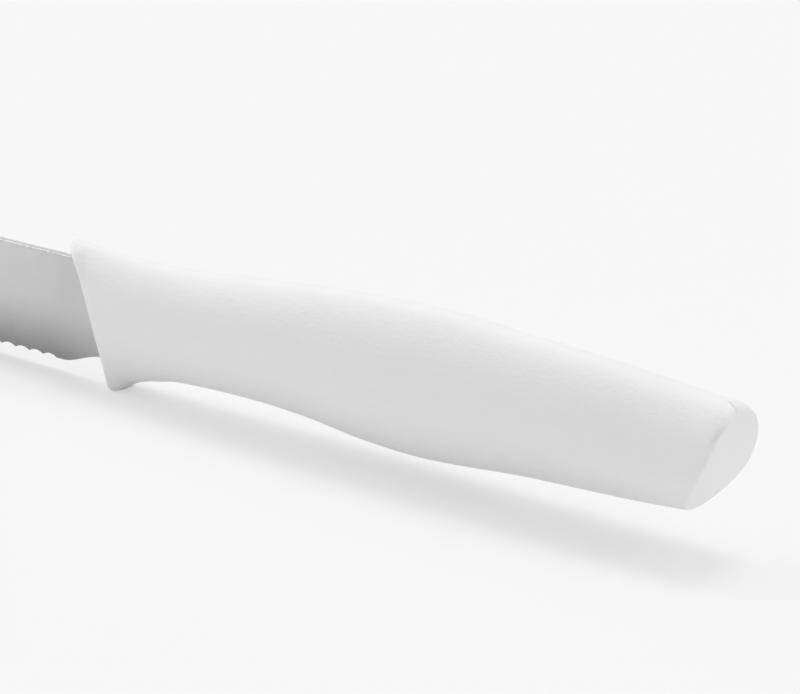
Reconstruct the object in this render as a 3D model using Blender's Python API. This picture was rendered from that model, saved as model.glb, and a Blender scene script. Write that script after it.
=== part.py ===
"""Serrated table knife: a stamped steel blade with a keyed tang in a moulded plastic handle.

The knife stands on its edge side. +X runs from the blade's tip to the butt, +Z from the
edge to the spine, and the user's left side of the blade faces -Y. The origin is below the
middle of the overall length, level with the lowest point of the finger guard.
"""
import math

import bmesh
import bpy

MM = 0.001

# Overall sizes
BLADE_LENGTH = 110.0 * MM
HANDLE_LENGTH = 106.0 * MM

# Blade
BLADE_HEIGHT = 14.7 * MM
BLADE_THICKNESS = 1.2 * MM
EDGE_THICKNESS = 0.3 * MM
GRIND_HEIGHT = 7.5 * MM
SPINE_CHAMFER = 0.12 * MM
TIP_DROP = 9.2 * MM
POINT_SPINE_LENGTH = 24.0 * MM
POINT_EDGE_LENGTH = 30.0 * MM
NOSE_HEIGHT = 0.5 * MM

# Serrations, ground from the right side of the blade
TOOTH_PITCH = 2.57 * MM
TOOTH_DEPTH = 0.38 * MM
FLUTE_HEIGHT = 2.6 * MM
FLUTE_DEPTH = 0.16 * MM
FIRST_TOOTH = 4.75 * MM
PLAIN_TIP = 5.0 * MM
STEPS_PER_TOOTH = 6

# Relief of the edge at the heel, from ahead of the guard line to behind it
HEEL_RISE = 1.7 * MM
HEEL_START = 3.7 * MM
HEEL_END = 3.7 * MM

# Tang inside the handle
HEEL_DEPTH = 5.8 * MM
SHOULDER_DEPTH = 7.8 * MM
SHOULDER_SLOPE = 2.0 * MM
TANG_TOP = 2.0 * MM
TANG_FRONT_HEIGHT = 8.6 * MM
TANG_END_HEIGHT = 6.4 * MM
TANG_LENGTH = 78.0 * MM
KEY_HOLES = 3
KEY_HOLE_DIAMETER = 4.0 * MM
KEY_HOLE_FIRST = 18.0 * MM
KEY_HOLE_PITCH = 24.0 * MM

# Handle
TANG_CLEARANCE = 0.3 * MM
GUARD_DROP = 1.7 * MM
GUARD_RAKE = 6.0 * MM
GUARD_FOOT = 1.7 * MM
GUARD_TOP_CORNER = 1.7 * MM
GUARD_FOOT_CORNER = 0.9 * MM
GUARD_FADE = 7.0 * MM
FRONT_BOW = 0.5 * MM
FRONT_THICKNESS = 3.2 * MM
FRONT_EDGE_RADIUS = 0.4 * MM
NOSE_LENGTH = 5.0 * MM
BUTT_RAKE = 6.1 * MM
BUTT_CROWN = 1.35 * MM
BUTT_EDGE_RADIUS = 0.2 * MM
BUTT_TOP_RADIUS = 2.5 * MM
BUTT_BOTTOM_RADIUS = 1.2 * MM

# Heights of the handle's back above the spine, and depths of its belly below it
GUARD_TOP = 2.5 * MM
WAIST_TOP = 1.6 * MM
PALM_TOP = 4.8 * MM
BUTT_TOP = 2.05 * MM
NECK_DEPTH = 13.0 * MM
PALM_DEPTH = 14.65 * MM
BUTT_DEPTH = 12.2 * MM

# Thickness of the handle behind the guard's nose, at the palm and at the butt
GUARD_THICKNESS = 6.6 * MM
PALM_THICKNESS = 11.4 * MM
BUTT_THICKNESS = 10.4 * MM

HANDLE_SIDES = 40
HANDLE_STATIONS = 28
NOSE_STATIONS = 6
BUTT_STATIONS = 6

GUARD_DEPTH = BLADE_HEIGHT + GUARD_DROP
GUARD_X = BLADE_LENGTH - (BLADE_LENGTH + HANDLE_LENGTH) / 2
SPINE_Z = GUARD_DEPTH
EDGE_Z = SPINE_Z - BLADE_HEIGHT


def mix(a, b, t):
    return a + (b - a) * t


def leg(start, end, steps):
    """Points of a profile between two heights, each a share of the length and a share of the climb."""
    return [(place, mix(start, end, share)) for place, share in steps]


BACK_LINE = (
    leg(GUARD_TOP, WAIST_TOP, [(0.0, 0.0), (0.042, 0.67), (0.099, 1.0)])
    + leg(WAIST_TOP, PALM_TOP, [(0.175, 0.1), (0.288, 0.44), (0.429, 0.83), (0.571, 1.0)])
    + leg(PALM_TOP, BUTT_TOP, [(0.712, 0.25), (0.854, 0.58), (0.948, 0.87), (1.0, 1.0)])
)
BELLY_LINE = (
    leg(GUARD_DEPTH, NECK_DEPTH, [(0.0, 0.0), (0.017, 0.24), (0.039, 0.53), (0.068, 0.72), (0.112, 0.87)])
    + leg(NECK_DEPTH, PALM_DEPTH, [(0.242, 0.0), (0.35, 0.21), (0.459, 0.85), (0.567, 1.0)])
    + leg(PALM_DEPTH, BUTT_DEPTH, [(0.73, 0.46), (0.893, 0.74), (0.99, 1.0)])
)
THICKNESS_LINE = (
    leg(GUARD_THICKNESS, PALM_THICKNESS,
        [(0.0, 0.0), (0.057, 0.19), (0.123, 0.35), (0.292, 0.71), (0.528, 1.0)])
    + leg(PALM_THICKNESS, BUTT_THICKNESS, [(0.811, 0.2), (1.0, 1.0)])
)


def curve(points, t):
    """Height of a smooth curve through the given points at t."""
    t = min(max(t, points[0][0]), points[-1][0])
    count = len(points)
    slopes = []
    for i in range(count):
        a = points[max(i - 1, 0)]
        b = points[min(i + 1, count - 1)]
        slopes.append((b[1] - a[1]) / (b[0] - a[0]))
    for i in range(count - 1):
        (x0, y0), (x1, y1) = points[i], points[i + 1]
        if t <= x1:
            break
    h = x1 - x0
    u = (t - x0) / h
    return ((2 * u**3 - 3 * u**2 + 1) * y0 + (u**3 - 2 * u**2 + u) * h * slopes[i]
            + (3 * u**2 - 2 * u**3) * y1 + (u**3 - u**2) * h * slopes[i + 1])


def material(name, colour, roughness, metallic):
    result = bpy.data.materials.new(name)
    result.use_nodes = True
    shader = result.node_tree.nodes["Principled BSDF"]
    shader.inputs["Base Color"].default_value = (*colour, 1.0)
    shader.inputs["Roughness"].default_value = roughness
    shader.inputs["Metallic"].default_value = metallic
    result.diffuse_color = (*colour, 1.0)
    return result


def add_object(name, mesh_builder, parent=None, look=None, smooth_angle=None):
    """Object whose mesh is closed by the builder's rings and caps."""
    mesh = bpy.data.meshes.new(name)
    work = bmesh.new()
    mesh_builder(work)
    bmesh.ops.recalc_face_normals(work, faces=work.faces)
    work.to_mesh(mesh)
    work.free()
    result = bpy.data.objects.new(name, mesh)
    bpy.context.scene.collection.objects.link(result)
    result.parent = parent
    if look:
        mesh.materials.append(look)
    if smooth_angle:
        mesh.shade_smooth()
        mesh.set_sharp_from_angle(angle=math.radians(smooth_angle))
    return result


def as_cutter(item):
    item.hide_render = True
    item.display_type = 'WIRE'
    return item


def cut(item, cutter):
    modifier = item.modifiers.new("cut " + cutter.name, 'BOOLEAN')
    modifier.operation = 'DIFFERENCE'
    modifier.solver = 'EXACT'
    modifier.object = cutter


def skin(work, rings):
    """Side faces between neighbouring rings of equal point counts."""
    loops = [[work.verts.new(point) for point in ring] for ring in rings]
    for first, second in zip(loops, loops[1:]):
        count = len(first)
        for i in range(count):
            j = (i + 1) % count
            work.faces.new((first[i], first[j], second[j], second[i]))
    return loops


def ladder(work, loop):
    """Cap made of strips across Y between the two mirrored halves of a ring."""
    count = len(loop)
    half = count // 2
    work.faces.new((loop[0], loop[1], loop[count - 1]))
    for i in range(1, half - 1):
        work.faces.new((loop[i], loop[i + 1], loop[count - i - 1], loop[count - i]))
    work.faces.new((loop[half - 1], loop[half], loop[half + 1]))


# Blade


def point_curve(distance, length, power):
    """Share of full height left at a distance in from where the point starts to curve."""
    u = min(max(distance / length, 0.0), 1.0)
    return (1 - u**power)**(1 / power)


def spine_height(x):
    """Top outline of blade and tang."""
    behind = x - GUARD_X
    if behind <= 0:
        share = point_curve(-behind - (BLADE_LENGTH - POINT_SPINE_LENGTH), POINT_SPINE_LENGTH, 2.1)
        return mix(SPINE_Z - TIP_DROP + NOSE_HEIGHT / 2, SPINE_Z, share)
    drop = min(max((behind - SHOULDER_DEPTH) / SHOULDER_SLOPE, 0.0), 1.0)
    return SPINE_Z - TANG_TOP * drop


def scallop(distance):
    """Height of the serrated edge above its tooth points, from the heel's first tooth."""
    first = BLADE_LENGTH - PLAIN_TIP
    if distance < FIRST_TOOTH or distance > first:
        return 0.0
    phase = ((distance - FIRST_TOOTH) / TOOTH_PITCH) % 1.0
    return TOOTH_DEPTH * (1 - (2 * phase - 1)**2)


def heel_height(behind):
    """Relief of the edge between the last tooth and the handle."""
    t = min(max((behind + HEEL_START) / (HEEL_START + HEEL_END), 0.0), 1.0)
    return HEEL_RISE * t * t * (3 - 2 * t)


def tang_bottom(behind):
    slope_end = SHOULDER_DEPTH + SHOULDER_SLOPE
    t = min(max((behind - slope_end) / (TANG_LENGTH - slope_end), 0.0), 1.0)
    height = mix(TANG_FRONT_HEIGHT, TANG_END_HEIGHT, t)
    middle = SPINE_Z - TANG_TOP - TANG_FRONT_HEIGHT / 2
    return middle - height / 2


def edge_height(x):
    """Bottom outline of blade and tang, with the teeth."""
    behind = x - GUARD_X
    slope_end = SHOULDER_DEPTH + SHOULDER_SLOPE
    if behind >= slope_end:
        return tang_bottom(behind)
    if behind > SHOULDER_DEPTH:
        return mix(EDGE_Z + HEEL_RISE, tang_bottom(slope_end), (behind - SHOULDER_DEPTH) / SHOULDER_SLOPE)
    share = point_curve(-behind - (BLADE_LENGTH - POINT_EDGE_LENGTH), POINT_EDGE_LENGTH, 2.1)
    line = mix(SPINE_Z - TIP_DROP - NOSE_HEIGHT / 2, EDGE_Z, share)
    return line + scallop(-behind) + heel_height(behind)


def blade_section(x):
    """Closed outline across the blade at x, from the left of the spine round to the left grind line."""
    behind = x - GUARD_X
    top = spine_height(x)
    bottom = edge_height(x)
    half = BLADE_THICKNESS / 2
    ground = min(max((SHOULDER_DEPTH - behind) / (SHOULDER_DEPTH - HEEL_DEPTH), 0.0), 1.0)
    tooth = scallop(-behind) / TOOTH_DEPTH
    thin = mix(half, EDGE_THICKNESS / 2, ground)
    grind = bottom + min(GRIND_HEIGHT, 0.62 * (top - bottom))
    flute = bottom + min(FLUTE_HEIGHT, 0.3 * (top - bottom))
    share = (flute - bottom) / (grind - bottom)
    at_flute = mix(thin, half, share)
    middle = mix(bottom, flute, 0.5)
    at_middle = mix(thin, at_flute, 0.5) - 0.7 * FLUTE_DEPTH * tooth
    at_edge = thin - FLUTE_DEPTH * tooth
    chamfer = SPINE_CHAMFER * min(1.0, (top - bottom) / (4 * SPINE_CHAMFER))
    return [
        (x, -half, top - chamfer),
        (x, -half + chamfer, top),
        (x, half - chamfer, top),
        (x, half, top - chamfer),
        (x, half, grind),
        (x, at_flute, flute),
        (x, at_middle, middle),
        (x, at_edge, bottom),
        (x, -thin, bottom),
        (x, -half, grind),
    ]


def blade_columns():
    """Places along X where the blade's outline is drawn."""
    columns = []
    # Pointed end, closer together towards the tip
    steps = 12
    plain = BLADE_LENGTH - PLAIN_TIP
    for i in range(steps):
        angle = 0.5 * math.pi * (i + 0.25) / steps
        columns.append(BLADE_LENGTH - PLAIN_TIP * (1 - math.cos(angle)))
    # Teeth
    step = TOOTH_PITCH / STEPS_PER_TOOTH
    count = int((plain - FIRST_TOOTH) / step)
    for i in range(count, -1, -1):
        columns.append(FIRST_TOOTH + i * step)
    # Heel, shoulder and tang
    steps = 10
    for i in range(1, steps + 1):
        columns.append(mix(FIRST_TOOTH, -HEEL_END, i / steps))
    columns.append(-HEEL_DEPTH)
    columns.append(-SHOULDER_DEPTH)
    columns.append(-SHOULDER_DEPTH - SHOULDER_SLOPE)
    columns.append(-TANG_LENGTH)
    return [GUARD_X - distance for distance in sorted(set(columns), reverse=True)]


def build_blade(work):
    loops = skin(work, [blade_section(x) for x in blade_columns()])
    work.faces.new(loops[0])
    work.faces.new(loops[-1])


def key_hole_places():
    middle = SPINE_Z - TANG_TOP - TANG_FRONT_HEIGHT / 2
    return [(GUARD_X + KEY_HOLE_FIRST + i * KEY_HOLE_PITCH, middle) for i in range(KEY_HOLES)]


def across(work, x, z, radius, length):
    """Round bar across Y."""
    sides = 24
    rings = []
    for y in (-length / 2, length / 2):
        ring = []
        for i in range(sides):
            angle = 2 * math.pi * i / sides
            ring.append((x + radius * math.cos(angle), y, z + radius * math.sin(angle)))
        rings.append(ring)
    for loop in skin(work, rings):
        work.faces.new(loop)


def build_key_holes(work):
    for x, z in key_hole_places():
        across(work, x, z, KEY_HOLE_DIAMETER / 2, 4 * BLADE_THICKNESS)


def build_key_plugs(work):
    for x, z in key_hole_places():
        across(work, x, z, KEY_HOLE_DIAMETER / 2 - TANG_CLEARANCE, 6 * BLADE_THICKNESS)


# Handle


def build_pocket(work):
    """Space for the blade's heel and tang, open at the guard's front."""
    gap = TANG_CLEARANCE
    half = BLADE_THICKNESS / 2 + gap
    slope_end = SHOULDER_DEPTH + SHOULDER_SLOPE
    rings = []
    for behind in (-HEEL_START, SHOULDER_DEPTH, slope_end, TANG_LENGTH):
        x = GUARD_X + behind + gap
        inner = GUARD_X + max(behind, SHOULDER_DEPTH)
        top = spine_height(inner) + gap
        bottom = edge_height(inner) - gap
        rings.append([(x, -half, bottom), (x, half, bottom), (x, half, top), (x, -half, top)])
    loops = skin(work, rings)
    work.faces.new(loops[0])
    work.faces.new(loops[-1])


def rounded_end(distance, radius):
    """Drop of an outline that ends in a round corner, at a distance before its end."""
    if distance >= radius:
        return 0.0
    return radius - math.sqrt(radius**2 - (radius - distance)**2)


def plate_share(distance, radius, width):
    """Share of a plate's half thickness left near its rounded edge."""
    if distance >= radius:
        return 1.0
    return 1 - (radius - math.sqrt(max(radius**2 - (radius - distance)**2, 0.0))) / width


def handle_ring(station, inset, along):
    """Slanted closed section: station 0 at the guard and 1 at the butt, drawn in by inset, moved along X."""
    foot_end = GUARD_RAKE + GUARD_FOOT
    end_low = HANDLE_LENGTH - BUTT_RAKE
    upper = HANDLE_LENGTH * station
    lower = mix(GUARD_RAKE, end_low, station)
    top = curve(BACK_LINE, station)
    top -= rounded_end(HANDLE_LENGTH - upper + 0.35 * BUTT_TOP_RADIUS, BUTT_TOP_RADIUS)
    bottom = -curve(BELLY_LINE, (lower - foot_end) / (end_low - foot_end))
    bottom += rounded_end(end_low - lower + 0.35 * BUTT_BOTTOM_RADIUS, BUTT_BOTTOM_RADIUS)
    width = curve(THICKNESS_LINE, station) / 2 - inset
    nose = max(1 - (upper + along) / NOSE_LENGTH, 0.0)
    width -= (GUARD_THICKNESS - FRONT_THICKNESS) / 2 * (1 - math.sqrt(1 - nose**2))
    fade = min(upper / GUARD_FADE, 1.0)
    fade = fade * fade * (3 - 2 * fade)
    bow = mix(FRONT_BOW, BUTT_CROWN, station)
    half_height = (top - bottom) / 2 - inset
    ring = []
    for i in range(HANDLE_SIDES):
        angle = 2 * math.pi * i / HANDLE_SIDES
        z = (top + bottom) / 2 + half_height * math.cos(angle)
        oval = abs(math.sin(angle))
        corner = GUARD_TOP_CORNER if math.cos(angle) > 0 else GUARD_FOOT_CORNER
        plate = plate_share(half_height * (1 - abs(math.cos(angle))), min(corner, 0.9 * width), width)
        if i % (HANDLE_SIDES // 2) == 0:
            plate = 0.0
        y = width * math.copysign(mix(plate, oval, fade), math.sin(angle))
        share = (z - bottom) / (top - bottom)
        x = mix(lower, upper, share) + 4 * bow * share * (1 - share) + along
        ring.append((GUARD_X + x, y, SPINE_Z + z))
    return ring


def build_handle(work):
    rings = []
    for i in range(4):
        angle = 0.5 * math.pi * i / 4
        inset = FRONT_EDGE_RADIUS * (1 - math.sin(angle))
        rings.append(handle_ring(0.0, inset, FRONT_EDGE_RADIUS * (1 - math.cos(angle))))
    first = FRONT_EDGE_RADIUS / HANDLE_LENGTH
    nose = NOSE_LENGTH / HANDLE_LENGTH
    last = 1 - BUTT_EDGE_RADIUS / HANDLE_LENGTH
    for i in range(NOSE_STATIONS):
        rings.append(handle_ring(mix(first, nose, (i / NOSE_STATIONS)**1.5), 0.0, 0.0))
    butt = 1 - 3 * BUTT_TOP_RADIUS / HANDLE_LENGTH
    for i in range(HANDLE_STATIONS):
        rings.append(handle_ring(mix(nose, butt, i / HANDLE_STATIONS), 0.0, 0.0))
    for i in range(BUTT_STATIONS + 1):
        rings.append(handle_ring(mix(butt, last, i / BUTT_STATIONS), 0.0, 0.0))
    for i in range(1, 5):
        angle = 0.5 * math.pi * i / 4
        inset = BUTT_EDGE_RADIUS * (1 - math.cos(angle))
        station = 1 - BUTT_EDGE_RADIUS / HANDLE_LENGTH * (1 - math.sin(angle))
        rings.append(handle_ring(station, inset, 0.0))
    loops = skin(work, rings)
    ladder(work, loops[0])
    ladder(work, loops[-1])


def main():
    for item in list(bpy.data.objects):
        bpy.data.objects.remove(item, do_unlink=True)

    steel = material("satin steel", (0.52, 0.52, 0.52), 0.34, 1.0)
    plastic = material("white plastic", (0.88, 0.88, 0.875), 0.5, 0.0)

    knife = bpy.data.objects.new("knife frame", None)
    bpy.context.scene.collection.objects.link(knife)

    holes = as_cutter(add_object("key hole cutter", build_key_holes, knife))
    plugs = as_cutter(add_object("key plug guide", build_key_plugs, knife))
    pocket = as_cutter(add_object("tang pocket cutter", build_pocket, knife))
    cut(pocket, plugs)

    blade = add_object("blade", build_blade, knife, steel, 25)
    cut(blade, holes)

    handle = add_object("handle", build_handle, knife, plastic, 35)
    cut(handle, pocket)


main()
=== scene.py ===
"""Studio scene of a serrated table knife: a satin steel blade in a white moulded plastic handle.

The knife stands on its finger guard and on the belly of its edge. Pieces are drawn in the
frame of the CAD model; the floor, the lamps and the camera hang on one empty, which is
tilted so that the floor touches the guard and the blade.
"""
import math

import bmesh
import bpy
from mathutils import Matrix, Vector


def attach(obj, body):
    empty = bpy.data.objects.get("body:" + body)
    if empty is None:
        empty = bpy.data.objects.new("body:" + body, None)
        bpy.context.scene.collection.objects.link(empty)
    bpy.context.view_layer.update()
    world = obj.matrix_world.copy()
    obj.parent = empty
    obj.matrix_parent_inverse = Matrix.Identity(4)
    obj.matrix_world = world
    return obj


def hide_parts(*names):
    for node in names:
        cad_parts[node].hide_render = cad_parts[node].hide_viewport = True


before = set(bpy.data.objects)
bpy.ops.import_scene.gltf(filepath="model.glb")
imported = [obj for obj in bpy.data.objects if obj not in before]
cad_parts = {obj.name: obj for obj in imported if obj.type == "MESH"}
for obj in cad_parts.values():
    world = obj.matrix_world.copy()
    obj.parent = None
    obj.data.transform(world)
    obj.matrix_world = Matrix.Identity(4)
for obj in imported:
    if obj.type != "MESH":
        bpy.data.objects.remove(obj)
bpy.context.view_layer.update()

MM = 0.001

# Blade
BLADE_LENGTH = 110.0 * MM
BLADE_HEIGHT = 14.7 * MM
BLADE_THICKNESS = 1.2 * MM
EDGE_THICKNESS = 0.3 * MM
GRIND_HEIGHT = 9.0 * MM
GRIND_RINGS_MM = (0.0, 0.25, 0.5, 0.8, 1.15, 1.6, 2.1, 2.6, 3.6, 4.8, 6.2, 7.6, 9.0)
MOST_GROUND = 0.7
SPINE_CHAMFER = 0.12 * MM
TIP_DROP = 9.2 * MM
POINT_SPINE_LENGTH = 24.0 * MM
POINT_EDGE_LENGTH = 30.0 * MM
POINT_POWER = 2.1
NOSE_HEIGHT = 0.5 * MM
TOOTH_PITCH = 2.57 * MM
TOOTH_DEPTH = 0.38 * MM
FLUTE_HEIGHT = 2.6 * MM
FLUTE_DEPTH = 0.14 * MM
FIRST_TOOTH = 4.75 * MM
PLAIN_TIP = 5.0 * MM
HEEL_RISE = 1.7 * MM
HEEL_START = 3.7 * MM
HEEL_END = 3.7 * MM
SUNK = 8.0 * MM

# Handle
HANDLE_LENGTH = 106.0 * MM
GUARD_DROP = 1.7 * MM
GUARD_RAKE = 6.05 * MM
GUARD_FOOT = 1.7 * MM
GUARD_TOP_CORNER = 3.0 * MM
GUARD_FOOT_CORNER = 0.8 * MM
GUARD_FADE = 3.0 * MM
GUARD_REACH = 0.82 * MM
FRONT_SET = 0.27 * MM
FRONT_BOW = 0.33 * MM
FRONT_THICKNESS = 2.2 * MM
FRONT_EDGE_RADIUS = 0.15 * MM
NOSE_LENGTH = 3.1 * MM
BUTT_RAKE = 6.1 * MM
BUTT_CROWN = 1.3 * MM
BUTT_EDGE_RADIUS = 0.5 * MM
BUTT_TOP_RADIUS = 2.8 * MM
BUTT_BOTTOM_RADIUS = 1.2 * MM
CORNER_CUT = 0.35
CORNER_SHARE = 0.98
GUARD_TOP = 2.42 * MM
WAIST_TOP = 1.6 * MM
PALM_TOP = 4.8 * MM
BUTT_TOP = 2.05 * MM
NECK_DEPTH = 13.0 * MM
PALM_DEPTH = 14.65 * MM
BUTT_DEPTH = 12.2 * MM
GUARD_THICKNESS = 7.0 * MM
PALM_THICKNESS = 11.4 * MM
BUTT_THICKNESS = 10.4 * MM
BUTT_FULLNESS = 0.6 * MM
FULL_LENGTH = 24.0 * MM
FULL_ABOVE = 0.3
FULL_FADE = 0.8
HANDLE_SIDES = 128

GUARD_DEPTH = BLADE_HEIGHT + GUARD_DROP
GUARD_X = BLADE_LENGTH - (BLADE_LENGTH + HANDLE_LENGTH) / 2
SPINE_Z = GUARD_DEPTH
EDGE_Z = SPINE_Z - BLADE_HEIGHT

# Looks: a pair is where a soft change starts and where it is whole
PLASTIC_DARK = (0.85, 0.85, 0.847)
PLASTIC_LIGHT = (0.87, 0.87, 0.867)
STEEL_DARK = (0.577, 0.577, 0.577)
STEEL_LIGHT = (0.637, 0.637, 0.637)
# Painted shade: a fine dark line across the handle's top near the butt, standing for the shade in a crease
LINE_LENGTH = 2.0 * MM
LINE_SLANT = 0.36
LINE_SHIFT = 0.12 * MM
LINE_SIDE = (0.22 * MM, 0.06 * MM)
LINE_FRONT = (0.0, 0.4 * MM)
LINE_FOOT = (17.5 * MM, 17.9 * MM)
CREASE_PAINTED_SHADE = 0.84
# Painted shade: soft dark patches on each upper shoulder near the butt, standing for the shade in a
# shallow dent
SINK_X = 104.09 * MM
SINK_RAKE = 0.22
SINK_FRONT = (-0.8 * MM, -0.05 * MM)
SINK_FOOT = (13.6 * MM, 15.0 * MM)
SINK_HEAD = (17.4 * MM, 15.4 * MM)
SINK_LEAN = 1.05
SINK_SIDE = (19.75 * MM, 20.15 * MM)
DENT_PAINTED_SHADE = 0.86
# Painted reflection: the blade darker towards its edge, standing for the floor's shadow seen in the bevel;
# it fades out at the heel
REFLECTED_SHADOW_ZONE = (EDGE_Z + 0.92 * GRIND_HEIGHT, EDGE_Z)
REFLECTED_SHADOW_HEEL = (GUARD_X + 12.0 * MM, GUARD_X - 8.0 * MM)
REFLECTED_SHADOW_LEVEL = 0.64
# Painted shade: the blade a little darker just in front of the guard
PAINTED_GUARD_ZONE = (GUARD_X - 10.0 * MM, GUARD_X - 1.0 * MM)
PAINTED_GUARD_SHADE = 0.92
SPINE_ZONE = (SPINE_Z - 0.17 * MM, SPINE_Z - 0.07 * MM)
SPINE_SHADE = 0.64
SPINE_CORNER = (SPINE_Z, SPINE_Z - 0.03 * MM)
CORNER_SHADE = 0.87


def mix(a, b, t):
    return a + (b - a) * t


def smooth(t):
    t = min(max(t, 0.0), 1.0)
    return t * t * (3 - 2 * t)


def leg(start, end, steps):
    """Points of a profile between two heights, each a share of the length and a share of the climb."""
    return [(place, mix(start, end, share)) for place, share in steps]


BACK_LINE = (
    leg(GUARD_TOP, WAIST_TOP, [(0.0, 0.0), (0.042, 0.45), (0.099, 0.8)])
    + leg(WAIST_TOP, PALM_TOP, [(0.175, 0.1), (0.288, 0.44), (0.429, 0.83), (0.571, 1.0)])
    + leg(PALM_TOP, BUTT_TOP, [(0.712, 0.25), (0.854, 0.58), (0.948, 0.87), (1.0, 1.0)])
)
BELLY_LINE = (
    leg(GUARD_DEPTH, NECK_DEPTH, [(0.0, 0.0), (0.017, 0.26), (0.039, 0.49), (0.068, 0.66), (0.112, 0.87)])
    + leg(NECK_DEPTH, PALM_DEPTH, [(0.242, 0.0), (0.35, 0.21), (0.459, 0.85), (0.567, 1.0)])
    + leg(PALM_DEPTH, BUTT_DEPTH, [(0.73, 0.46), (0.893, 0.74), (0.99, 1.0)])
)
THICKNESS_LINE = (
    leg(GUARD_THICKNESS, PALM_THICKNESS,
        [(0.0, 0.0), (0.057, 0.19), (0.123, 0.35), (0.292, 0.71), (0.528, 1.0)])
    + leg(PALM_THICKNESS, BUTT_THICKNESS, [(0.811, 0.2), (1.0, 1.0)])
)


def curve(points, t):
    """Height of a smooth curve through the given points at t."""
    t = min(max(t, points[0][0]), points[-1][0])
    count = len(points)
    slopes = []
    for i in range(count):
        a = points[max(i - 1, 0)]
        b = points[min(i + 1, count - 1)]
        slopes.append((b[1] - a[1]) / (b[0] - a[0]))
    for i in range(count - 1):
        (x0, y0), (x1, y1) = points[i], points[i + 1]
        if t <= x1:
            break
    h = x1 - x0
    u = (t - x0) / h
    return ((2 * u**3 - 3 * u**2 + 1) * y0 + (u**3 - 2 * u**2 + u) * h * slopes[i]
            + (3 * u**2 - 2 * u**3) * y1 + (u**3 - u**2) * h * slopes[i + 1])


# Mesh helpers


def skin(work, rings):
    """Side faces between neighbouring rings of equal point counts."""
    loops = [[work.verts.new(point) for point in ring] for ring in rings]
    for first, second in zip(loops, loops[1:]):
        count = len(first)
        for i in range(count):
            j = (i + 1) % count
            work.faces.new((first[i], first[j], second[j], second[i]))
    return loops


def ladder(work, loop):
    """Cap made of strips across Y between the two mirrored halves of a ring."""
    count = len(loop)
    half = count // 2
    faces = [work.faces.new((loop[0], loop[1], loop[count - 1]))]
    for i in range(1, half - 1):
        faces.append(work.faces.new((loop[i], loop[i + 1], loop[count - i - 1], loop[count - i])))
    faces.append(work.faces.new((loop[half - 1], loop[half], loop[half + 1])))
    return faces


def add_piece(name, work, looks, node, sharp_angle):
    """Finished piece on the knife's body, standing for a CAD node."""
    bmesh.ops.recalc_face_normals(work, faces=work.faces)
    mesh = bpy.data.meshes.new(name)
    work.to_mesh(mesh)
    work.free()
    for look in looks:
        mesh.materials.append(look)
    mesh.shade_smooth()
    mesh.set_sharp_from_angle(angle=math.radians(sharp_angle))
    piece = bpy.data.objects.new(name, mesh)
    bpy.context.scene.collection.objects.link(piece)
    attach(piece, "root")
    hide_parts(node)
    return piece


# Materials


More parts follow.
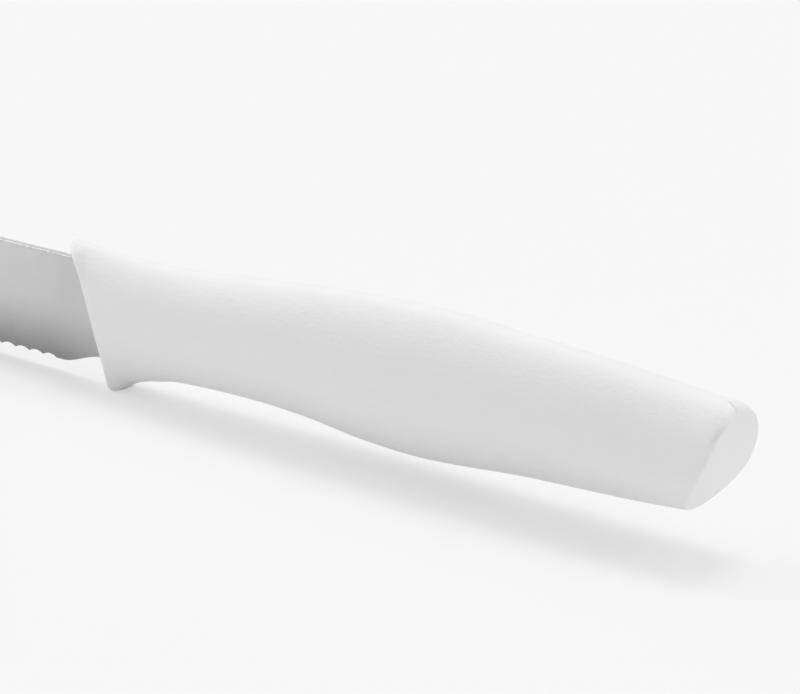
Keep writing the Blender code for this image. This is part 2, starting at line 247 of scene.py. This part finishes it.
class Nodes:
    """Short calls for building a node tree round a Principled BSDF."""

    def __init__(self, name):
        self.material = bpy.data.materials.new(name)
        self.material.use_nodes = True
        self.tree = self.material.node_tree
        self.shader = self.tree.nodes["Principled BSDF"]

    def add(self, kind, **values):
        node = self.tree.nodes.new("ShaderNode" + kind)
        for key, value in values.items():
            setattr(node, key, value)
        return node

    def link(self, source, target):
        self.tree.links.new(source, target)

    def coordinates(self, scale):
        """Object coordinates, which are metres in the CAD frame, stretched by a scale."""
        source = self.add("TexCoord")
        mapping = self.add("Mapping")
        mapping.inputs["Scale"].default_value = scale
        self.link(source.outputs["Object"], mapping.inputs["Vector"])
        return mapping.outputs["Vector"]

    def noise(self, vector, scale, detail, roughness=0.5, distortion=0.0):
        node = self.add("TexNoise")
        node.inputs["Scale"].default_value = scale
        node.inputs["Detail"].default_value = detail
        node.inputs["Roughness"].default_value = roughness
        node.inputs["Distortion"].default_value = distortion
        self.link(vector, node.inputs["Vector"])
        return node.outputs["Fac"]

    def spread(self, value, low, high):
        """A 0 to 1 value spread between two numbers."""
        node = self.add("MapRange")
        node.inputs["From Min"].default_value = 0.25
        node.inputs["From Max"].default_value = 0.75
        node.inputs["To Min"].default_value = low
        node.inputs["To Max"].default_value = high
        self.link(value, node.inputs["Value"])
        return node.outputs["Result"]

    def tint(self, value, dark, light):
        node = self.add("Mix", data_type='RGBA')
        node.inputs["A"].default_value = (*dark, 1.0)
        node.inputs["B"].default_value = (*light, 1.0)
        self.link(value, node.inputs["Factor"])
        self.link(node.outputs["Result"], self.shader.inputs["Base Color"])

    def axes(self):
        """Object coordinates X, Y and Z."""
        parts = self.add("SeparateXYZ")
        self.link(self.coordinates((1.0, 1.0, 1.0)), parts.inputs["Vector"])
        return parts.outputs["X"], parts.outputs["Y"], parts.outputs["Z"]

    def math(self, operation, first, second):
        """Result of one operation on two values, each a socket or a number."""
        node = self.add("Math", operation=operation)
        for value, socket in zip((first, second), node.inputs):
            if isinstance(value, float):
                socket.default_value = value
            else:
                self.link(value, socket)
        return node.outputs["Value"]

    def rise(self, value, low, high):
        """Smooth step from 0 at low to 1 at high, where low may be the larger number."""
        node = self.add("MapRange", interpolation_type='SMOOTHSTEP')
        node.inputs["From Min"].default_value = min(low, high)
        node.inputs["From Max"].default_value = max(low, high)
        node.inputs["To Min"].default_value = 0.0 if low < high else 1.0
        node.inputs["To Max"].default_value = 1.0 if low < high else 0.0
        self.link(value, node.inputs["Value"])
        return node.outputs["Result"]

    def darken(self, mask, share):
        """Base colour times share where the mask is 1."""
        level = self.add("MapRange")
        level.inputs["To Min"].default_value = 1.0
        level.inputs["To Max"].default_value = share
        self.link(mask, level.inputs["Value"])
        shade = self.add("Mix", data_type='RGBA', blend_type='MULTIPLY')
        shade.inputs["Factor"].default_value = 1.0
        self.link(self.shader.inputs["Base Color"].links[0].from_socket, shade.inputs["A"])
        self.link(level.outputs["Result"], shade.inputs["B"])
        self.link(shade.outputs["Result"], self.shader.inputs["Base Color"])

    def bump(self, height, distance, strength, below=None):
        node = self.add("Bump")
        node.inputs["Distance"].default_value = distance
        node.inputs["Strength"].default_value = strength
        self.link(height, node.inputs["Height"])
        if below:
            self.link(below, node.inputs["Normal"])
        return node.outputs["Normal"]


def plastic(name, grain):
    """White moulded plastic, with the long fine grain of its mould where grain is above 0."""
    nodes = Nodes(name)
    vector = nodes.coordinates((1.0, 1.0, 1.0))
    cloud = nodes.noise(vector, 60.0, 2.0)
    nodes.tint(nodes.spread(cloud, 0.0, 1.0), PLASTIC_DARK, PLASTIC_LIGHT)
    nodes.link(nodes.spread(cloud, 0.33, 0.39), nodes.shader.inputs["Roughness"])
    # Painted shade at the butt, multiplied into the base colour
    paint_butt_shade(nodes)
    swell = nodes.bump(nodes.noise(vector, 130.0, 1.0), 0.00008, 0.25)
    if grain > 0:
        fine = nodes.noise(nodes.coordinates((1100.0, 2000.0, 2000.0)), 1.0, 3.0, 0.5, 0.7)
        swell = nodes.bump(fine, 0.00007, grain, swell)
    nodes.link(swell, nodes.shader.inputs["Normal"])
    return nodes.material


def paint_butt_shade(nodes):
    """Painted shade at the butt: a dark line for a crease on top, dark patches for a dent on each
    shoulder.
    """
    x, y, z = nodes.axes()
    behind = nodes.math('SUBTRACT', x, GUARD_X + HANDLE_LENGTH - LINE_LENGTH)
    aside = nodes.math('ADD', y, nodes.math('MULTIPLY', behind, LINE_SLANT))
    aside = nodes.math('ABSOLUTE', nodes.math('ADD', aside, LINE_SHIFT), 0.0)
    above = nodes.math('MULTIPLY', nodes.rise(behind, *LINE_FRONT), nodes.rise(z, *LINE_FOOT))
    # Painted crease shade along a fine line on top
    nodes.darken(nodes.math('MULTIPLY', nodes.rise(aside, *LINE_SIDE), above), CREASE_PAINTED_SHADE)
    # Painted dent shade on each upper shoulder
    rim = nodes.math('SUBTRACT', nodes.math('SUBTRACT', x, SINK_X), nodes.math('MULTIPLY', z, SINK_RAKE))
    dent_shade = nodes.math('MULTIPLY', nodes.rise(rim, *SINK_FRONT), nodes.rise(z, *SINK_FOOT))
    outward = nodes.math('ADD', nodes.math('ABSOLUTE', y, 0.0), nodes.math('MULTIPLY', z, SINK_LEAN))
    dent_shade = nodes.math('MULTIPLY', dent_shade, nodes.rise(outward, *SINK_SIDE))
    nodes.darken(nodes.math('MULTIPLY', dent_shade, nodes.rise(z, *SINK_HEAD)), DENT_PAINTED_SHADE)


def steel(name):
    """Satin stainless steel: clouded flats, a painted shadow reflection along the edge that fades at the
    heel, painted shade by the guard, a rough spine.
    """
    nodes = Nodes(name)
    marks = nodes.noise(nodes.coordinates((9000.0, 9000.0, 160.0)), 1.0, 3.0, 0.6)
    cloud = nodes.noise(nodes.coordinates((150.0, 150.0, 60.0)), 1.0, 3.0)
    nodes.shader.inputs["Metallic"].default_value = 1.0
    nodes.tint(nodes.spread(cloud, 0.0, 1.0), STEEL_DARK, STEEL_LIGHT)
    x, _, z = nodes.axes()
    # Painted reflection of the floor's shadow, darker towards the edge and gone at the heel
    reflected_shadow = nodes.math('MULTIPLY', nodes.rise(z, *REFLECTED_SHADOW_ZONE), nodes.rise(x, *REFLECTED_SHADOW_HEEL))
    nodes.darken(reflected_shadow, REFLECTED_SHADOW_LEVEL)
    # Painted shade in front of the guard
    nodes.darken(nodes.rise(x, *PAINTED_GUARD_ZONE), PAINTED_GUARD_SHADE)
    spine = nodes.rise(z, *SPINE_ZONE)
    dashes = nodes.noise(nodes.coordinates((1500.0, 5000.0, 1.0)), 1.0, 2.0)
    nodes.darken(nodes.math('MULTIPLY', spine, nodes.spread(dashes, -0.6, 1.6)), SPINE_SHADE)
    nodes.darken(nodes.math('MULTIPLY', spine, nodes.rise(z, *SPINE_CORNER)), CORNER_SHADE)
    nodes.link(nodes.spread(marks, 0.30, 0.38), nodes.shader.inputs["Roughness"])
    nodes.link(nodes.bump(marks, 0.000004, 0.3), nodes.shader.inputs["Normal"])
    return nodes.material


# Handle


def rounded_end(distance, radius):
    """Drop of an outline that ends in a round corner, at a distance before its end."""
    if distance >= radius:
        return 0.0
    return radius - math.sqrt(max(radius**2 - (radius - distance)**2, 0.0))


def plate_share(distance, radius, width):
    """Share of a plate's half thickness left near its rounded edge."""
    if distance >= radius:
        return 1.0
    return 1 - (radius - math.sqrt(max(radius**2 - (radius - distance)**2, 0.0))) / width


def handle_ring(station, inset, along):
    """Slanted closed section, station 0 at the guard to 1 at the butt, drawn in and moved along X."""
    foot_end = GUARD_RAKE + GUARD_FOOT
    end_low = HANDLE_LENGTH - BUTT_RAKE
    upper = HANDLE_LENGTH * station
    lower = mix(GUARD_RAKE, end_low, station)
    top = curve(BACK_LINE, station)
    top -= rounded_end(HANDLE_LENGTH - upper + CORNER_CUT * BUTT_TOP_RADIUS, BUTT_TOP_RADIUS)
    bottom = -curve(BELLY_LINE, (lower - foot_end) / (end_low - foot_end))
    bottom += rounded_end(end_low - lower + CORNER_CUT * BUTT_BOTTOM_RADIUS, BUTT_BOTTOM_RADIUS)
    width = curve(THICKNESS_LINE, station) / 2 - inset
    nose = max(1 - (upper + along) / NOSE_LENGTH, 0.0)
    width -= (GUARD_THICKNESS - FRONT_THICKNESS) / 2 * (1 - math.sqrt(1 - nose**2))
    fade = smooth(upper / GUARD_FADE)
    full = BUTT_FULLNESS * smooth((upper - HANDLE_LENGTH + FULL_LENGTH) / FULL_LENGTH)
    bow = mix(FRONT_BOW, BUTT_CROWN, station)
    half_height = (top - bottom) / 2 - inset
    ring = []
    for i in range(HANDLE_SIDES):
        angle = 2 * math.pi * i / HANDLE_SIDES
        z = (top + bottom) / 2 + half_height * math.cos(angle)
        oval = abs(math.sin(angle))
        corner = GUARD_TOP_CORNER if math.cos(angle) > 0 else GUARD_FOOT_CORNER
        inward = half_height * (1 - abs(math.cos(angle)))
        plate = plate_share(inward, min(corner, CORNER_SHARE * width), width)
        if i % (HANDLE_SIDES // 2) == 0:
            plate = 0.0
        low = smooth((FULL_ABOVE - math.cos(angle)) / FULL_FADE)
        y = (width + full * low) * math.copysign(mix(plate, oval, fade), math.sin(angle))
        share = (z - bottom) / (top - bottom)
        set_back = (FRONT_SET - GUARD_REACH * max(4 * share - 3, 0.0)**2) * (1 - fade)
        x = mix(lower, upper, share) + 4 * bow * share * (1 - share) + set_back + along
        ring.append((GUARD_X + x, y, SPINE_Z + z))
    return ring


def build_handle(looks):
    work = bmesh.new()
    rings = []
    edge_steps = 8
    for i in range(edge_steps):
        angle = 0.5 * math.pi * i / edge_steps
        inset = FRONT_EDGE_RADIUS * (1 - math.sin(angle))
        rings.append(handle_ring(0.0, inset, FRONT_EDGE_RADIUS * (1 - math.cos(angle))))
    first = FRONT_EDGE_RADIUS / HANDLE_LENGTH
    nose = NOSE_LENGTH / HANDLE_LENGTH
    last = 1 - BUTT_EDGE_RADIUS / HANDLE_LENGTH
    nose_steps = 24
    for i in range(nose_steps):
        rings.append(handle_ring(mix(first, nose, (i / nose_steps)**1.5), 0.0, 0.0))
    end = 1 - 3 * BUTT_TOP_RADIUS / HANDLE_LENGTH
    steps = 200
    for i in range(steps):
        rings.append(handle_ring(mix(nose, end, i / steps), 0.0, 0.0))
    end_steps = 40
    for i in range(end_steps + 1):
        rings.append(handle_ring(mix(end, last, i / end_steps), 0.0, 0.0))
    for i in range(1, edge_steps + 1):
        angle = 0.5 * math.pi * i / edge_steps
        inset = BUTT_EDGE_RADIUS * (1 - math.cos(angle))
        station = 1 - BUTT_EDGE_RADIUS / HANDLE_LENGTH * (1 - math.sin(angle))
        rings.append(handle_ring(station, inset, 0.0))
    loops = skin(work, rings)
    ladder(work, loops[0])
    for face in ladder(work, loops[-1]):
        face.material_index = 1
    rim = set(vertex for loop in loops[-edge_steps - 1:] for vertex in loop)
    for face in work.faces:
        if all(vertex in rim for vertex in face.verts):
            face.material_index = 1
    return add_piece("moulded_handle", work, looks, "handle", sharp_angle=40)


# Blade


def point_curve(distance, length, power):
    """Share of full height left at a distance in from where the point starts to curve."""
    u = min(max(distance / length, 0.0), 1.0)
    return (1 - u**power)**(1 / power)


def spine_height(x):
    share = point_curve(GUARD_X - x - (BLADE_LENGTH - POINT_SPINE_LENGTH), POINT_SPINE_LENGTH, POINT_POWER)
    return mix(SPINE_Z - TIP_DROP + NOSE_HEIGHT / 2, SPINE_Z, share)


def scallop(distance):
    """Height of the serrated edge above its tooth points, as a share of their depth."""
    if distance < FIRST_TOOTH or distance > BLADE_LENGTH - PLAIN_TIP:
        return 0.0
    phase = ((distance - FIRST_TOOTH) / TOOTH_PITCH) % 1.0
    return 1 - (2 * phase - 1)**2


def edge_height(x):
    behind = x - GUARD_X
    share = point_curve(-behind - (BLADE_LENGTH - POINT_EDGE_LENGTH), POINT_EDGE_LENGTH, POINT_POWER)
    line = mix(SPINE_Z - TIP_DROP - NOSE_HEIGHT / 2, EDGE_Z, share)
    relief = HEEL_RISE * smooth((behind + HEEL_START) / (HEEL_START + HEEL_END))
    return line + TOOTH_DEPTH * scallop(-behind) + relief


def blade_ring(x):
    """Outline across the blade: flat sides, a taper towards the edge, and flutes on the right side."""
    top = spine_height(x)
    bottom = edge_height(x)
    tall = top - bottom
    half = BLADE_THICKNESS / 2
    grind = min(GRIND_HEIGHT, MOST_GROUND * tall)
    chamfer = SPINE_CHAMFER * min(1.0, tall / (4 * SPINE_CHAMFER))
    left = []
    right = []
    for rise in [height * MM / GRIND_HEIGHT * grind for height in GRIND_RINGS_MM]:
        taper = half - (half - EDGE_THICKNESS / 2) * (1 - rise / grind)**2
        flute = FLUTE_DEPTH * max(scallop(GUARD_X - x) - rise / FLUTE_HEIGHT, 0.0)
        left.append((x, -taper, bottom + rise))
        right.append((x, taper - flute, bottom + rise))
    spine = []
    for i in range(4):
        angle = 0.5 * math.pi * i / 3
        y = half - chamfer + chamfer * math.cos(angle)
        z = top - chamfer + chamfer * math.sin(angle)
        spine.append((y, z))
    ring = left[::-1] + right
    ring += [(x, y, z) for y, z in spine]
    ring += [(x, -y, z) for y, z in reversed(spine)]
    return ring


def build_blade(look):
    work = bmesh.new()
    distances = []
    tip_steps = 28
    for i in range(tip_steps):
        angle = 0.5 * math.pi * (i + 0.25) / tip_steps
        distances.append(BLADE_LENGTH - PLAIN_TIP * (1 - math.cos(angle)))
    step = TOOTH_PITCH / 14
    count = int((BLADE_LENGTH - PLAIN_TIP - FIRST_TOOTH) / step)
    distances += [FIRST_TOOTH + i * step for i in range(count + 1)]
    heel_steps = 48
    distances += [mix(FIRST_TOOTH, -SUNK, i / heel_steps) for i in range(1, heel_steps + 1)]
    rings = [blade_ring(GUARD_X - distance) for distance in sorted(set(distances), reverse=True)]
    loops = skin(work, rings)
    work.faces.new(loops[0])
    work.faces.new(loops[-1])
    return add_piece("steel_blade", work, [look], "blade", sharp_angle=24)


build_handle([plastic("grained white plastic", 1.0), plastic("smooth white plastic", 0.0)])
build_blade(steel("satin steel"))


# Studio

TILT = 1.1
STUDIO_X = 2.337 * MM
STUDIO_Z = 0.104 * MM
BACKGROUND = 0.93
SHADOW_SHARE = 0.58
WORLD_STRENGTH = 0.5
CAMERA_AZIMUTH = 40.0
CAMERA_ELEVATION = 18.969
CAMERA_DISTANCE = 0.5
CAMERA_TARGET = (54.149 * MM, 0.0, 16.035 * MM)
CAMERA_LENS = 183.55
# Strength, then spread, azimuth and elevation in degrees
LAMPS = {
    "top lamp": (0.62, 20.0, 0.0, 76.0),
    "back right lamp": (0.47, 50.0, 60.0, 50.0),
    "back left lamp": (0.54, 60.0, 290.0, 46.0),
    "left lamp": (0.56, 40.0, 257.0, 20.0),
    "right lamp": (0.15, 40.0, 130.0, 20.0),
}

studio = bpy.data.objects.new("studio", None)
studio.location = (STUDIO_X, 0.0, STUDIO_Z)
studio.rotation_euler = (0.0, math.radians(TILT), 0.0)
bpy.context.scene.collection.objects.link(studio)


def add_floor():
    """Floor whose shadow shows at a share of its depth, as on a pale backdrop that is lit by itself."""
    work = bmesh.new()
    bmesh.ops.create_grid(work, x_segments=1, y_segments=1, size=4.0)
    mesh = bpy.data.meshes.new("floor")
    work.to_mesh(mesh)
    work.free()
    nodes = Nodes("pale floor")
    nodes.shader.inputs["Base Color"].default_value = (BACKGROUND, BACKGROUND, BACKGROUND, 1.0)
    nodes.shader.inputs["Roughness"].default_value = 1.0
    nodes.shader.inputs["Specular IOR Level"].default_value = 0.0
    bright = nodes.add("Emission")
    bright.inputs["Color"].default_value = (BACKGROUND, BACKGROUND, BACKGROUND, 1.0)
    seen = nodes.add("LightPath")
    share = nodes.add("Math", operation='MULTIPLY')
    share.inputs[1].default_value = 1 - SHADOW_SHARE
    blend = nodes.add("MixShader")
    nodes.link(seen.outputs["Is Camera Ray"], share.inputs[0])
    nodes.link(share.outputs["Value"], blend.inputs["Fac"])
    nodes.link(nodes.shader.outputs["BSDF"], blend.inputs[1])
    nodes.link(bright.outputs["Emission"], blend.inputs[2])
    nodes.link(blend.outputs["Shader"], nodes.tree.nodes["Material Output"].inputs["Surface"])
    mesh.materials.append(nodes.material)
    floor = bpy.data.objects.new("floor", mesh)
    bpy.context.scene.collection.objects.link(floor)
    floor.parent = studio


def add_sun(name, strength, spread, azimuth, elevation):
    """Distant lamp: azimuth 0 is on the knife's right side, at +Y, and 90 is past its butt, at +X."""
    lamp = bpy.data.lights.new(name, 'SUN')
    lamp.energy = strength
    lamp.angle = math.radians(spread)
    item = bpy.data.objects.new(name, lamp)
    bpy.context.scene.collection.objects.link(item)
    a, e = math.radians(azimuth), math.radians(elevation)
    towards = Vector((math.sin(a) * math.cos(e), math.cos(a) * math.cos(e), math.sin(e)))
    item.rotation_euler = towards.to_track_quat('Z', 'Y').to_euler()
    item.parent = studio


def add_world(strength):
    """Even light all round, behind a backdrop that the camera and the steel see as bright as the floor."""
    world = bpy.data.worlds.new("studio")
    world.use_nodes = True
    tree = world.node_tree
    seen = tree.nodes.new("ShaderNodeLightPath")
    either = tree.nodes.new("ShaderNodeMath")
    either.operation = 'MAXIMUM'
    level = tree.nodes.new("ShaderNodeMapRange")
    level.inputs["To Min"].default_value = strength
    level.inputs["To Max"].default_value = BACKGROUND
    background = tree.nodes["Background"]
    background.inputs["Color"].default_value = (1.0, 1.0, 1.0, 1.0)
    tree.links.new(seen.outputs["Is Camera Ray"], either.inputs[0])
    tree.links.new(seen.outputs["Is Glossy Ray"], either.inputs[1])
    tree.links.new(either.outputs["Value"], level.inputs["Value"])
    tree.links.new(level.outputs["Result"], background.inputs["Strength"])
    bpy.context.scene.world = world


def add_camera():
    """View of the knife's left side, from past its butt and above, aimed at the handle's middle."""
    azimuth, elevation = math.radians(CAMERA_AZIMUTH), math.radians(CAMERA_ELEVATION)
    back = Vector((math.sin(azimuth) * math.cos(elevation), -math.cos(azimuth) * math.cos(elevation),
                   math.sin(elevation)))
    data = bpy.data.cameras.new("camera")
    data.sensor_width = 36.0
    data.lens = CAMERA_LENS
    data.clip_start = 0.01
    data.clip_end = 20.0
    camera = bpy.data.objects.new("camera", data)
    bpy.context.scene.collection.objects.link(camera)
    camera.parent = studio
    place = Matrix.Translation(Vector(CAMERA_TARGET) + back * CAMERA_DISTANCE)
    camera.matrix_local = place @ back.to_track_quat('Z', 'Y').to_matrix().to_4x4()
    bpy.context.scene.camera = camera


add_floor()
for lamp_name, lamp_values in LAMPS.items():
    add_sun(lamp_name, *lamp_values)
add_world(WORLD_STRENGTH)
add_camera()
bpy.context.scene.view_settings.view_transform = 'Standard'

bpy.context.view_layer.update()
